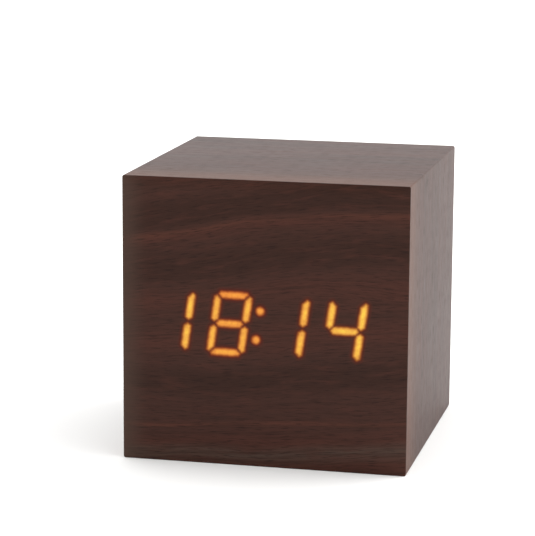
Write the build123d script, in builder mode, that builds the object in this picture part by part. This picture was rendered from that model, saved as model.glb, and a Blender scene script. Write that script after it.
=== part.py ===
from build123d import *

import math
import os

os.makedirs("parts", exist_ok=True)

# A cube-shaped LED alarm clock in a foil-faced wooden case. Millimetres. It stands on
# Z = 0 with its front towards -Y, and the case is centred on X = 0 and Y = 0.

# Case
case_width = 62.0
case_depth = 62.0
case_height = 62.0
board_thickness = 4.0
corner_radius = 0.4
film_thickness = 0.25
front_thickness = 3.0
block_length = 10.0
block_side = 6.2

# Clearances
fit_gap = 0.1
slide_gap = 0.08
hinge_gap = 0.05
screw_gap = 0.02
cover_gap = 0.2

# Digits and display module
digit_height = 14.0
digit_span = 6.9
digit_pitch = 12.4
digit_slant = 8.5
bar_width = 1.55
bar_gap = 0.2
bar_rounding = 0.22
dot_radius = 0.9
dot_spacing = 6.25
display_shift = -1.2
nose_width = 48.4
nose_height = 19.0
flange_width = 51.6
flange_height = 26.0
flange_thickness = 4.0
led_board_thickness = 1.2
chip_size = 1.0
chip_height = 0.5

# Rear cover, battery bay and door
cover_recess = 1.0
cover_thickness = 2.0
cell_length = 44.5
cell_diameter = 10.5
cell_gap = 0.2
cell_pitch = cell_diameter + cell_gap
nub_diameter = 3.8
nub_length = 0.9
spring_length = 3.4
spring_radius = 3.1
spring_wall = 0.5
contact_thickness = 0.4
contact_width = 8.0
contact_height = 8.6
dimple_length = 0.5
dimple_radius = 1.5
tab_width = 2.0
tab_length = 2.4
bay_wall = 1.2
bay_depth = cell_diameter + fit_gap
bay_strip = 6.4
door_thickness = 1.6
door_gap = 0.15
hinge_pin_radius = 0.6
hinge_pin_length = 1.1
latch_width = 8.0
latch_reach = 1.1
latch_slot = 0.8
latch_slot_length = 7.0
thumb_radius = 4.2
thumb_depth = 1.0
grip_length = 14.0
grip_width = 0.7
grip_depth = 0.3
grip_spacing = 1.8

# Main board and what it carries
main_board_width = 41.0
main_board_height = 12.2
main_board_thickness = 1.6
post_length = 6.0
post_radius = 1.8
post_inset_x = 2.0
post_inset_z = 2.3
switch_side = 6.0
switch_height = 3.5
stem_radius = 1.75
stem_rise = 0.6
stem_depth = 1.1
button_radius = 2.5
button_proud = 0.4
button_flange_radius = 3.3
button_flange = 1.0
button_post_radius = 1.3
button_travel = 0.3
button_pitch = 8.5
first_button = -13.5
inlet_offset = 15.5
inlet_width = 7.5
inlet_height = 2.6
inlet_length = 7.5
inlet_wall = 0.3
inlet_gap = 0.25
microphone_offset = 9.15
microphone_radius = 2.0
microphone_height = 1.5
sound_hole_radius = 0.5
socket_width = 12.0
socket_height = 4.4
socket_depth = 3.5
socket_shift = -1.5
ribbon_width = 9.0
ribbon_thickness = 0.9
lead_radius = 0.5

# Screws: head radius, head height, shank radius, length under the head
cover_screw = (2.0, 1.1, 1.1, 8.5)
display_screw = (1.5, 1.0, 0.8, 7.2)
board_screw = (1.5, 1.0, 0.8, 5.5)
drive_width = 0.45
drive_share = 0.62

# Levels worked out from the sizes above
front_face = -case_depth / 2
film_back = front_face + film_thickness
front_back = film_back + front_thickness
flange_back = front_back + flange_thickness
led_board_back = flange_back + led_board_thickness
rear_edge = case_depth / 2
cover_face = rear_edge - cover_recess
cover_inside = cover_face - cover_thickness
main_board_back = cover_inside - post_length
main_board_front = main_board_back - main_board_thickness
half_inside = case_width / 2 - board_thickness
floor_level = board_thickness
ceiling_level = case_height - board_thickness
middle_level = case_height / 2
display_depth = front_thickness + flange_thickness

bay_height = 2 * cell_pitch + cell_diameter + 2 * door_gap
bay_half_width = (cell_length + spring_length + dimple_length + 2 * contact_thickness) / 2
bay_bottom = floor_level + bay_strip + bay_wall
bay_top = bay_bottom + bay_height
bay_middle = (bay_bottom + bay_top) / 2
door_inside = cover_face - door_thickness
bay_floor = door_inside - fit_gap - bay_depth
row_level = (bay_top + bay_wall + ceiling_level) / 2
cell_levels = [bay_middle + cell_pitch * step for step in (-1, 0, 1)]
cell_axis = bay_floor + fit_gap + cell_diameter / 2
block_centre = half_inside - block_side / 2
block_levels = (floor_level + block_side / 2, ceiling_level - block_side / 2)
corner_places = [(side * block_centre, level) for side in (-1, 1) for level in block_levels]


def front_plane(y):
    """A plane at depth y with X to the right and Z up, whose normal points to the front."""
    return Plane.XZ.offset(-y)


def save(piece, name):
    """Label a finished piece and write it to its own file."""
    piece.part.label = name
    export_step(piece.part, f"parts/{name}.step")


def pan_screws(seat, places, sizes, side):
    """Screws with cross-slotted pan heads on the face at depth seat; side 1 puts heads at the back."""
    head_radius, head_height, shank_radius, length = sizes
    with BuildPart() as screws:
        with BuildSketch(front_plane(seat)):
            with Locations(*places):
                Circle(head_radius)
        extrude(amount=-side * head_height)
        rims = screws.edges().filter_by(GeomType.CIRCLE).group_by(Axis.Y)[-1 if side > 0 else 0]
        fillet(rims, head_height * 0.4)
        with BuildSketch(front_plane(seat)):
            with Locations(*places):
                Circle(shank_radius)
        extrude(amount=side * length)
        with BuildSketch(front_plane(seat + side * head_height)):
            with Locations(*places):
                Rectangle(2 * head_radius * drive_share, drive_width)
                Rectangle(drive_width, 2 * head_radius * drive_share)
        extrude(amount=side * head_height / 2, mode=Mode.SUBTRACT)
    return screws


# Case boards: four foil-faced boards with mitred corners
left, right = -case_width / 2, case_width / 2
mitred_outlines = {
    "bottom_board": [(left, 0), (right, 0), (half_inside, floor_level), (-half_inside, floor_level)],
    "top_board": [
        (right, case_height),
        (left, case_height),
        (-half_inside, ceiling_level),
        (half_inside, ceiling_level),
    ],
    "left_board": [
        (left, case_height),
        (left, 0),
        (-half_inside, floor_level),
        (-half_inside, ceiling_level),
    ],
    "right_board": [
        (right, 0),
        (right, case_height),
        (half_inside, ceiling_level),
        (half_inside, floor_level),
    ],
}
for board_name, outline in mitred_outlines.items():
    with BuildPart() as case_board:
        with BuildSketch(front_plane(rear_edge)):
            Polygon(*outline, align=None)
            with Locations((0, middle_level)):
                RectangleRounded(case_width, case_height, corner_radius, mode=Mode.INTERSECT)
        extrude(amount=case_depth - film_thickness)
    save(case_board, board_name)

# Corner blocks glued inside the case, which the rear cover screws into
with BuildPart() as corner_blocks:
    with BuildSketch(front_plane(cover_inside)):
        with Locations(*corner_places):
            Rectangle(block_side, block_side)
    extrude(amount=block_length)
    with BuildSketch(front_plane(cover_inside)):
        with Locations(*corner_places):
            Circle(cover_screw[2] + screw_gap)
    extrude(amount=block_length - 1, mode=Mode.SUBTRACT)
save(corner_blocks, "corner_blocks")

# Display screws stand in the flange, clear of the nose
display_screw_x = flange_width / 2 - 2.4
display_screw_z = (nose_height + flange_height) / 4
display_places = [
    (display_shift + side * display_screw_x, middle_level + end * display_screw_z)
    for side in (-1, 1)
    for end in (-1, 1)
]

# Front board with a window for the display, under one continuous printed film
with BuildPart() as front_board:
    with BuildSketch(front_plane(front_back)):
        with Locations((0, middle_level)):
            Rectangle(2 * half_inside, case_height - 2 * board_thickness)
        with Locations((display_shift, middle_level)):
            Rectangle(nose_width + 2 * fit_gap, nose_height + 2 * fit_gap, mode=Mode.SUBTRACT)
    extrude(amount=front_thickness)
    with BuildSketch(front_plane(front_back)):
        with Locations(*display_places):
            Circle(display_screw[2] + screw_gap)
    extrude(amount=front_thickness * 0.75, mode=Mode.SUBTRACT)
save(front_board, "front_board")

with BuildPart() as front_film:
    with BuildSketch(front_plane(film_back)):
        with Locations((0, middle_level)):
            RectangleRounded(case_width, case_height, corner_radius)
    extrude(amount=film_thickness)
    fillet(front_film.faces().sort_by(Axis.Y)[0].edges(), film_thickness * 0.6)
save(front_film, "front_film")

# The seven bars of a digit. Each end is three points: distance short of the corner that the
# bar runs to, and offset towards the outside of the digit.
half_bar = bar_width / 2
half_span = digit_span / 2
half_rise = (digit_height - bar_width) / 2
corner_end = [(half_bar + bar_gap, -half_bar), (0.05, 0.15), (0.5, half_bar)]
point_end = [(0.9, -half_bar), (0.25, 0), (0.9, half_bar)]
digit_bars = {
    "a": ((-half_span, half_rise), (half_span, half_rise), (0, 1), corner_end, corner_end),
    "b": ((half_span, half_rise), (half_span, 0), (1, 0), corner_end, point_end),
    "c": ((half_span, -half_rise), (half_span, 0), (1, 0), corner_end, point_end),
    "d": ((-half_span, -half_rise), (half_span, -half_rise), (0, -1), corner_end, corner_end),
    "e": ((-half_span, -half_rise), (-half_span, 0), (-1, 0), corner_end, point_end),
    "f": ((-half_span, half_rise), (-half_span, 0), (-1, 0), corner_end, point_end),
    "g": ((-half_span, 0), (half_span, 0), (0, 1), point_end, point_end),
}
lit_bars = ["bc", "abcdefg", "bc", "bcfg"]
slope = math.tan(math.radians(digit_slant))


def lean(x, z):
    """Slant a point of the display about its middle line."""
    return (x + slope * z, z)


def bar_outline(name, digit_x):
    """Corners of one bar of the digit whose middle stands at digit_x."""
    start, finish, outward, start_end, finish_end = digit_bars[name]
    length = math.dist(start, finish)
    along = ((finish[0] - start[0]) / length, (finish[1] - start[1]) / length)
    stations = list(start_end) + [(length - short, out) for short, out in reversed(finish_end)]
    corners = []
    for distance, out in stations:
        x = start[0] + along[0] * distance + outward[0] * out
        z = start[1] + along[1] * distance + outward[1] * out
        leaned_x, leaned_z = lean(x, z)
        corners.append((digit_x + leaned_x, middle_level + leaned_z))
    return corners


digit_centres = [display_shift + digit_pitch * step for step in (-1.5, -0.5, 0.5, 1.5)]
lit_outlines = []
dark_outlines = []
for digit_x, lit in zip(digit_centres, lit_bars):
    for bar_name in digit_bars:
        wanted = lit_outlines if bar_name in lit else dark_outlines
        wanted.append(bar_outline(bar_name, digit_x))
dot_places = []
for end in (-1, 1):
    dot_x, dot_z = lean(0, end * dot_spacing / 2)
    dot_places.append((display_shift + dot_x, middle_level + dot_z))
chip_places = [
    (sum(x for x, z in outline) / len(outline), sum(z for x, z in outline) / len(outline))
    for outline in lit_outlines + dark_outlines
] + dot_places


def draw_bars(outlines):
    """Add the rounded outlines of some bars to the open sketch."""
    for outline in outlines:
        with BuildSketch(Plane.XY, mode=Mode.PRIVATE) as single:
            Polygon(*outline, align=None)
            fillet(single.vertices(), bar_rounding)
        add(single.sketch)


def light_bars(outlines, places):
    """Clear resin bars or dots that reach from the film to the light chips."""
    with BuildPart() as bars:
        with BuildSketch(front_plane(flange_back - chip_height - fit_gap)):
            draw_bars(outlines)
            if places:
                with Locations(*places):
                    Circle(dot_radius)
        extrude(amount=display_depth - chip_height - fit_gap)
    return bars


# Display housing: a nose that fills the window, a flange behind it, and a well for each bar
with BuildPart() as display_housing:
    with BuildSketch(front_plane(front_back)):
        with Locations((display_shift, middle_level)):
            Rectangle(nose_width, nose_height)
    extrude(amount=front_thickness)
    with BuildSketch(front_plane(flange_back)):
        with Locations((display_shift, middle_level)):
            RectangleRounded(flange_width, flange_height, 1.0)
    extrude(amount=flange_thickness)
    with BuildSketch(front_plane(flange_back)):
        with Locations(*display_places):
            Circle(display_screw[2] + fit_gap)
    extrude(amount=flange_thickness, mode=Mode.SUBTRACT)
    with BuildSketch(front_plane(flange_back)):
        draw_bars(lit_outlines + dark_outlines)
        with Locations(*dot_places):
            Circle(dot_radius)
    extrude(amount=display_depth, mode=Mode.SUBTRACT)
save(display_housing, "display_housing")

save(light_bars(lit_outlines, []), "lit_bars")
save(light_bars(dark_outlines, []), "dark_bars")
save(light_bars([], dot_places), "colon_dots")

# Display circuit board with its light chips, driver and smoothing capacitor
with BuildPart() as led_board:
    with BuildSketch(front_plane(led_board_back)):
        with Locations((display_shift, middle_level)):
            RectangleRounded(flange_width, flange_height, 1.0)
        with Locations(*display_places):
            Circle(display_screw[2] + fit_gap, mode=Mode.SUBTRACT)
    extrude(amount=led_board_thickness)
save(led_board, "led_board")

with BuildPart() as led_chips:
    with BuildSketch(front_plane(flange_back)):
        with Locations(*chip_places):
            Rectangle(chip_size, chip_size)
    extrude(amount=chip_height)
save(led_chips, "led_chips")

save(pan_screws(led_board_back, display_places, display_screw, 1), "display_screws")


def board_chip(name, seat, place, sizes, side):
    """A moulded chip on a circuit board, with a row of leads along its two long sides."""
    body_width, body_height, thickness, pins = sizes
    pin_pitch = body_width / pins
    foot = thickness * 0.25
    with BuildPart() as chip:
        with BuildSketch(front_plane(seat + side * foot)):
            with Locations(place):
                Rectangle(body_width, body_height)
        extrude(amount=-side * (thickness - foot))
        chamfer(chip.faces().sort_by(Axis.Y)[-1 if side > 0 else 0].edges(), thickness * 0.15)
        with BuildSketch(front_plane(seat)):
            with Locations(place):
                with GridLocations(pin_pitch, body_height + 0.5, pins, 2):
                    Rectangle(pin_pitch * 0.35, 1.5)
        extrude(amount=-side * thickness * 0.4)
    save(chip, name)


driver_level = middle_level - flange_height * 0.3
board_chip("driver_chip", led_board_back, (display_shift - 12, driver_level), (9.8, 3.9, 1.6, 8), 1)
with BuildPart() as capacitor:
    with BuildSketch(front_plane(led_board_back)):
        with Locations((display_shift + 15, driver_level)):
            Circle(2.5)
    extrude(amount=-6)
    fillet(capacitor.edges().filter_by(GeomType.CIRCLE).sort_by(Axis.Y)[-1], 0.5)
save(capacitor, "capacitor")

# Main board behind the rear cover's top strip
board_bottom = row_level - main_board_height / 2
post_places = [
    (side * (main_board_width / 2 - post_inset_x), row_level + end * (main_board_height / 2 - post_inset_z))
    for side in (-1, 1)
    for end in (-1, 1)
]
with BuildPart() as main_board:
    with BuildSketch(front_plane(main_board_back)):
        with Locations((0, row_level)):
            Rectangle(main_board_width, main_board_height)
        with Locations(*post_places):
            Circle(board_screw[2] + fit_gap, mode=Mode.SUBTRACT)
    extrude(amount=main_board_thickness)
save(main_board, "main_board")
save(pan_screws(main_board_front, post_places, board_screw, -1), "board_screws")

chip_x = socket_shift + socket_width / 2 + 6.0
board_chip("control_chip", main_board_front, (chip_x, board_bottom + 3.6), (9.0, 3.4, 1.6, 8), -1)
with BuildPart() as crystal:
    with BuildSketch(front_plane(main_board_front)):
        with Locations((chip_x, board_bottom + main_board_height - 3.0)):
            SlotOverall(8.6, 3.2)
    extrude(amount=2.6)
    fillet(crystal.faces().sort_by(Axis.Y)[0].edges(), 0.4)
save(crystal, "crystal")

buzzer_x = socket_shift - socket_width / 2 - 5.0
with BuildPart() as buzzer:
    with BuildSketch(front_plane(main_board_front)):
        with Locations((buzzer_x, row_level)):
            Circle(4.5)
    extrude(amount=4.5)
    fillet(buzzer.edges().filter_by(GeomType.CIRCLE).sort_by(Axis.Y)[0], 0.5)
    with BuildSketch(front_plane(main_board_front - 4.5)):
        with Locations((buzzer_x, row_level)):
            Circle(0.9)
    extrude(amount=-1, mode=Mode.SUBTRACT)
save(buzzer, "buzzer")

with BuildPart() as microphone:
    with BuildSketch(front_plane(main_board_back)):
        with Locations((microphone_offset, row_level)):
            Circle(microphone_radius)
    extrude(amount=-microphone_height)
save(microphone, "microphone")

# Sockets on both boards and the ribbon between them
led_socket_end = led_board_back + socket_depth
main_socket_end = main_board_front - socket_depth
with BuildPart() as ribbon_sockets:
    with BuildSketch(front_plane(led_board_back)):
        with Locations((socket_shift, middle_level)):
            Rectangle(socket_width, socket_height)
    extrude(amount=-socket_depth)
    with BuildSketch(front_plane(main_board_front)):
        with Locations((socket_shift, row_level)):
            Rectangle(socket_width, socket_height)
    extrude(amount=socket_depth)
save(ribbon_sockets, "ribbon_sockets")

span = main_socket_end - led_socket_end
rise = row_level - middle_level
ribbon_route = [
    (led_socket_end, middle_level),
    (led_socket_end + span * 0.28, middle_level),
    (led_socket_end + span * 0.50, middle_level + rise * 0.45),
    (led_socket_end + span * 0.74, row_level),
    (main_socket_end, row_level),
]
with BuildPart() as display_ribbon:
    with BuildSketch(Plane.YZ.offset(socket_shift)):
        with BuildLine():
            FilletPolyline(*ribbon_route, radius=[span * 0.22, span * 0.18, span * 0.16])
        trace(line_width=ribbon_thickness)
    extrude(amount=ribbon_width / 2, both=True)
save(display_ribbon, "display_ribbon")

# Tact switches with their stems, and the caps that press on them
button_xs = [first_button + button_pitch * step for step in range(3)]
button_places = [(x, row_level) for x in button_xs]
switch_top = main_board_back + switch_height
stem_top = switch_top + stem_rise
flange_end = cover_inside - fit_gap
with BuildPart() as switch_bodies:
    with BuildSketch(front_plane(main_board_back)):
        with Locations(*button_places):
            Rectangle(switch_side, switch_side)
    extrude(amount=-switch_height)
    chamfer(switch_bodies.edges().filter_by(Axis.Y), 0.5)
    with BuildSketch(front_plane(switch_top)):
        with Locations(*button_places):
            Circle(stem_radius + slide_gap)
    extrude(amount=stem_depth + button_travel + fit_gap, mode=Mode.SUBTRACT)
save(switch_bodies, "switch_bodies")

for button_name, button_x in zip(("set", "up", "down"), button_xs):
    with BuildPart() as stem:
        with BuildSketch(front_plane(stem_top)):
            with Locations((button_x, row_level)):
                Circle(stem_radius)
        extrude(amount=stem_rise + stem_depth)
    save(stem, f"{button_name}_stem")
    with BuildPart() as cap:
        with BuildSketch(front_plane(flange_end - button_flange)):
            with Locations((button_x, row_level)):
                Circle(button_post_radius)
        extrude(amount=flange_end - button_flange - stem_top)
        with BuildSketch(front_plane(flange_end)):
            with Locations((button_x, row_level)):
                Circle(button_flange_radius)
        extrude(amount=button_flange)
        with BuildSketch(front_plane(cover_face + button_proud)):
            with Locations((button_x, row_level)):
                Circle(button_radius)
        extrude(amount=cover_face + button_proud - flange_end)
        fillet(cap.edges().filter_by(GeomType.CIRCLE).sort_by(Axis.Y)[-1], 0.35)
    save(cap, f"{button_name}_button")

# Power inlet: a sheet-metal shell with its insulator and tongue
inlet_end = main_board_back + inlet_length
with BuildPart() as power_inlet:
    with BuildSketch(front_plane(inlet_end)):
        with Locations((inlet_offset, row_level)):
            RectangleRounded(inlet_width, inlet_height, 0.7)
            RectangleRounded(
                inlet_width - 2 * inlet_wall, inlet_height - 2 * inlet_wall, 0.4, mode=Mode.SUBTRACT
            )
    extrude(amount=inlet_length)
save(power_inlet, "power_inlet")
with BuildPart() as inlet_core:
    with BuildSketch(front_plane(main_board_back + 1.6)):
        with Locations((inlet_offset, row_level)):
            RectangleRounded(inlet_width - 2 * inlet_wall, inlet_height - 2 * inlet_wall, 0.4)
    extrude(amount=1.6)
    with BuildSketch(front_plane(inlet_end - 0.8)):
        with Locations((inlet_offset, row_level + 0.25)):
            Rectangle(3.9, 0.7)
    extrude(amount=inlet_length - 0.8)
save(inlet_core, "inlet_core")

# Contact strips on the bay's two end walls. Each is (side, levels of its cells, is it a lead's).
contact_levels = {
    "negative_contact": (-1, [cell_levels[0]], True),
    "left_link_contact": (-1, [cell_levels[1], cell_levels[2]], False),
    "right_link_contact": (1, [cell_levels[0], cell_levels[1]], False),
    "positive_contact": (1, [cell_levels[2]], True),
}
raised_dimples = {
    "left_link_contact": cell_levels[1],
    "right_link_contact": cell_levels[0],
    "positive_contact": cell_levels[2],
}
end_wall = bay_half_width
strip_face = end_wall - contact_thickness
for contact_name, (side, levels, has_tab) in contact_levels.items():
    middle = sum(levels) / len(levels)
    reach = max(levels) - min(levels) + contact_width
    with BuildPart() as contact:
        with BuildSketch(Plane.YZ.offset(side * end_wall)):
            with Locations((bay_floor + contact_height / 2, middle)):
                RectangleRounded(contact_height, reach, 0.8)
            if has_tab:
                with Locations((bay_floor - tab_length / 2 + 0.5, middle)):
                    Rectangle(tab_length + 1.0, tab_width)
        extrude(amount=-side * contact_thickness)
        if contact_name in raised_dimples:
            with BuildSketch(Plane.YZ.offset(side * strip_face)):
                with Locations((cell_axis, raised_dimples[contact_name])):
                    Circle(dimple_radius)
            extrude(amount=-side * dimple_length)
    save(contact, contact_name)

# Coil springs, as the tapered sleeve that each one fills
spring_places = [(-1, cell_levels[0]), (1, cell_levels[1]), (-1, cell_levels[2])]
with BuildPart() as contact_springs:
    for side, level in spring_places:
        base = Plane(origin=(side * strip_face, cell_axis, level), z_dir=(-side, 0, 0))
        with BuildSketch(base):
            Circle(spring_radius)
            Circle(spring_radius - spring_wall, mode=Mode.SUBTRACT)
        extrude(amount=spring_length, taper=12)
save(contact_springs, "contact_springs")

# Cells, with alternate ends to the right. The dimple meets the cell's nub.
for cell_name, level, side in zip(("lower", "middle", "upper"), cell_levels, (1, -1, 1)):
    nub_end = side * (strip_face - dimple_length)
    with BuildPart() as cell:
        with BuildSketch(Plane.YZ.offset(nub_end)):
            with Locations((cell_axis, level)):
                Circle(nub_diameter / 2)
        extrude(amount=-side * nub_length)
        with BuildSketch(Plane.YZ.offset(nub_end - side * nub_length)):
            with Locations((cell_axis, level)):
                Circle(cell_diameter / 2)
        extrude(amount=-side * (cell_length - nub_length))
        fillet(cell.edges().filter_by(GeomType.CIRCLE).group_by(SortBy.RADIUS)[-1], 0.4)
    save(cell, f"{cell_name}_cell")

# Rear cover: a plate with the battery bay, board posts, and openings for buttons and inlet
door_bottom = bay_bottom + fit_gap
hinge_level = door_bottom + door_thickness / 2
hinge_depth = cover_face - door_thickness / 2
notch_top = bay_top + latch_reach + fit_gap
with BuildPart() as rear_cover:
    with BuildSketch(front_plane(cover_face)):
        with Locations((0, middle_level)):
            Rectangle(
                2 * (half_inside - cover_gap), case_height - 2 * (board_thickness + cover_gap)
            )
    extrude(amount=cover_thickness)
    with BuildSketch(front_plane(cover_inside)):
        with Locations((0, bay_middle)):
            Rectangle(2 * (bay_half_width + bay_wall), bay_height + 2 * bay_wall)
    extrude(amount=cover_inside - bay_floor + bay_wall)
    with BuildSketch(front_plane(cover_inside)):
        with Locations(*post_places):
            Circle(post_radius)
    extrude(amount=post_length)
    with BuildSketch(front_plane(cover_face)):
        with Locations((0, bay_middle)):
            Rectangle(2 * bay_half_width, bay_height)
    extrude(amount=cover_face - bay_floor, mode=Mode.SUBTRACT)
    # Ribs that cradle the cells
    rib_levels = [(cell_levels[step] + cell_levels[step + 1]) / 2 for step in (0, 1)]
    with BuildSketch(front_plane(bay_floor + cell_diameter * 0.22)):
        with Locations(*[(0, level) for level in rib_levels]):
            Rectangle(cell_length * 0.8, 0.8)
    extrude(amount=cell_diameter * 0.22)
    # Slots in the bay's floor for the two solder tabs
    with BuildSketch(front_plane(bay_floor)):
        with Locations(
            (-strip_face - contact_thickness / 2, cell_levels[0]),
            (strip_face + contact_thickness / 2, cell_levels[2]),
        ):
            Rectangle(contact_thickness, tab_width + 2 * fit_gap)
    extrude(amount=bay_wall, mode=Mode.SUBTRACT)
    # Notch for the door's latch and the scoop for a thumb above it
    with BuildSketch(front_plane(cover_face)):
        with Locations((0, (bay_top + notch_top) / 2)):
            Rectangle(latch_width + 2 * fit_gap, notch_top - bay_top)
    extrude(amount=door_thickness, mode=Mode.SUBTRACT)
    with BuildSketch(front_plane(cover_face)):
        with Locations((0, notch_top)):
            SlotOverall(2 * thumb_radius, thumb_radius)
            with Locations((0, -thumb_radius)):
                Rectangle(4 * thumb_radius, 2 * thumb_radius, mode=Mode.SUBTRACT)
    extrude(amount=thumb_depth, mode=Mode.SUBTRACT)
    # Openings along the button row
    with BuildSketch(front_plane(cover_face)):
        with Locations(*button_places):
            Circle(button_radius + slide_gap)
        with Locations((inlet_offset, row_level)):
            RectangleRounded(inlet_width + 2 * inlet_gap, inlet_height + 2 * inlet_gap, 0.8)
        with Locations((microphone_offset, row_level)):
            Circle(sound_hole_radius)
    extrude(amount=cover_thickness, mode=Mode.SUBTRACT)
    # Screw holes: counterbored at the corners, blind in the posts
    with BuildSketch(front_plane(cover_face)):
        with Locations(*corner_places):
            Circle(cover_screw[0] + fit_gap)
    extrude(amount=cover_screw[1], mode=Mode.SUBTRACT)
    with BuildSketch(front_plane(cover_face)):
        with Locations(*corner_places):
            Circle(cover_screw[2] + fit_gap)
    extrude(amount=cover_thickness, mode=Mode.SUBTRACT)
    with BuildSketch(front_plane(main_board_back)):
        with Locations(*post_places):
            Circle(board_screw[2] + screw_gap)
    extrude(amount=-(board_screw[3] - main_board_thickness + 0.4), mode=Mode.SUBTRACT)
    # Pivot holes for the door's pins
    for side in (-1, 1):
        with BuildSketch(Plane.YZ.offset(side * bay_half_width)):
            with Locations((hinge_depth, hinge_level)):
                Circle(hinge_pin_radius + hinge_gap)
        extrude(amount=side * (hinge_pin_length + fit_gap), mode=Mode.SUBTRACT)
save(rear_cover, "rear_cover")
save(pan_screws(cover_face - cover_screw[1], corner_places, cover_screw, 1), "cover_screws")

# Battery door: a plate whose rounded lower edge turns on two pins, with a springy latch
door_half_width = bay_half_width - door_gap
door_top = bay_top - door_gap
with BuildPart() as battery_door:
    with BuildSketch(Plane.YZ.offset(-door_half_width)):
        with Locations((hinge_depth, (hinge_level + door_top) / 2)):
            Rectangle(door_thickness, door_top - hinge_level)
        with Locations((hinge_depth, hinge_level)):
            Circle(door_thickness / 2)
    extrude(amount=2 * door_half_width)
    with BuildSketch(Plane.YZ.offset(-door_half_width - hinge_pin_length)):
        with Locations((hinge_depth, hinge_level)):
            Circle(hinge_pin_radius)
    extrude(amount=2 * (door_half_width + hinge_pin_length))
    with BuildSketch(front_plane(cover_face)):
        with Locations((0, door_top + (latch_reach + door_gap) / 2 - 0.5)):
            Rectangle(latch_width, latch_reach + door_gap + 1.0)
    extrude(amount=door_thickness)
    with BuildSketch(front_plane(cover_face)):
        with Locations((0, door_top - latch_slot_length / 2)):
            with GridLocations(latch_width + latch_slot, 0, 2, 1):
                Rectangle(latch_slot, latch_slot_length)
    extrude(amount=door_thickness, mode=Mode.SUBTRACT)
    with BuildSketch(front_plane(cover_face)):
        with Locations((0, door_top - latch_slot_length - 4)):
            with GridLocations(0, grip_spacing, 1, 3):
                SlotOverall(grip_length, grip_width)
    extrude(amount=grip_depth, mode=Mode.SUBTRACT)
save(battery_door, "battery_door")

# Battery leads, from the solder tabs round the bay to the main board
tab_end = bay_floor - tab_length
lead_line = strip_face + contact_thickness / 2
lead_top = row_level - main_board_height / 2 + 5.6
lead_ends = {"black_lead": (-1, cell_levels[0]), "red_lead": (1, cell_levels[2])}
for lead_name, (side, level) in lead_ends.items():
    climb = lead_top - level
    pad_x = side * (main_board_width / 2 - 1.6)
    route = [
        (side * lead_line, tab_end, level),
        (side * lead_line, tab_end - 4.5, level),
        (side * (lead_line - 1.5), tab_end - 5.5, level + climb * 0.55),
        (pad_x, tab_end - 3.5, lead_top),
        (pad_x, main_board_front, lead_top),
    ]
    runs = [math.dist(route[step], route[step + 1]) for step in range(len(route) - 1)]
    radii = []
    for step in range(1, len(route) - 1):
        before = Vector(*route[step]) - Vector(*route[step - 1])
        after = Vector(*route[step + 1]) - Vector(*route[step])
        turn = math.radians(before.get_angle(after))
        radii.append(0.45 * min(runs[step - 1], runs[step]) / math.tan(turn / 2))
    with BuildPart() as lead:
        with BuildLine() as lead_path:
            FilletPolyline(*route, radius=radii)
        with BuildSketch(Plane(origin=route[0], z_dir=lead_path.wire() % 0)):
            Circle(lead_radius)
        sweep()
    print(lead_name, "radii", [round(radius, 1) for radius in radii])
    save(lead, lead_name)
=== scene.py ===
import math

import bmesh
import bpy
from bpy.props import FloatProperty, FloatVectorProperty, PointerProperty
from mathutils import Matrix, Vector
from mathutils.geometry import delaunay_2d_cdt


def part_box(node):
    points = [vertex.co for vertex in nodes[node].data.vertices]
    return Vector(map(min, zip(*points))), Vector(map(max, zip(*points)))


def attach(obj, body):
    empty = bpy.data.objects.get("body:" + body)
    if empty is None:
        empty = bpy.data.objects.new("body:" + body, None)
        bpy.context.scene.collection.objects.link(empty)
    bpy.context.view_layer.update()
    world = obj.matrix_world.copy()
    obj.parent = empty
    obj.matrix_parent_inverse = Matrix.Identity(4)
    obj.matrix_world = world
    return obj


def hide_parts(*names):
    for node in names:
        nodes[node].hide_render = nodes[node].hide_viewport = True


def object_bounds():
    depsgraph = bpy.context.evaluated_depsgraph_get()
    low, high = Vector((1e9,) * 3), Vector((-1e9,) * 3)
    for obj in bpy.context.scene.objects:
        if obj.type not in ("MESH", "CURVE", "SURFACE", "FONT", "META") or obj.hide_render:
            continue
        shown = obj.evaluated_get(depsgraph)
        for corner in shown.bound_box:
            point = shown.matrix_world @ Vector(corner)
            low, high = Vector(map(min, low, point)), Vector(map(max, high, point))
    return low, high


# The looks of a cube-shaped LED alarm clock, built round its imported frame. Meshes are made in
# millimetres in the frame's own axes: Z up, front towards -Y, and turned to metres as they end.

bl_info = {
    "name": "Cube Alarm Clock",
    "version": (1, 0, 0),
    "blender": (4, 5, 0),
    "location": "3D View > Sidebar > Alarm Clock",
    "description": "Builds a cube-shaped LED alarm clock and its stage",
    "category": "Object",
}

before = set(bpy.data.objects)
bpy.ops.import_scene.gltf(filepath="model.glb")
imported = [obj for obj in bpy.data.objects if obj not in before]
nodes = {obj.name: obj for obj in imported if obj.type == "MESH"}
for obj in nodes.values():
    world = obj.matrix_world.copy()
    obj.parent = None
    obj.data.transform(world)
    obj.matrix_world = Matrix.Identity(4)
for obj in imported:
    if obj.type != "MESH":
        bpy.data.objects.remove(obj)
cad_low, cad_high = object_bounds()
MM = 0.001
CASE_CORNER = 0.4  # rounding of the case's long edges, in mm


def srgb(code):
    """Turn an sRGB hex colour into the linear colour that shaders take."""
    channels = [int(code[start : start + 2], 16) / 255 for start in (1, 3, 5)]
    return tuple(c / 12.92 if c <= 0.04045 else ((c + 0.055) / 1.055) ** 2.4 for c in channels) + (1,)


def box_mm(node_name):
    """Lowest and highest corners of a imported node, in millimetres."""
    low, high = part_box(node_name)
    return low / MM, high / MM


def number_property(name, description, default, **options):
    """A number that a user may change."""
    return FloatProperty(name=name, description=description, default=default, **options)


def length_property(name, description, default):
    """A size in millimetres that a user may change."""
    return number_property(name, description, default, min=0.0)


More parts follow.
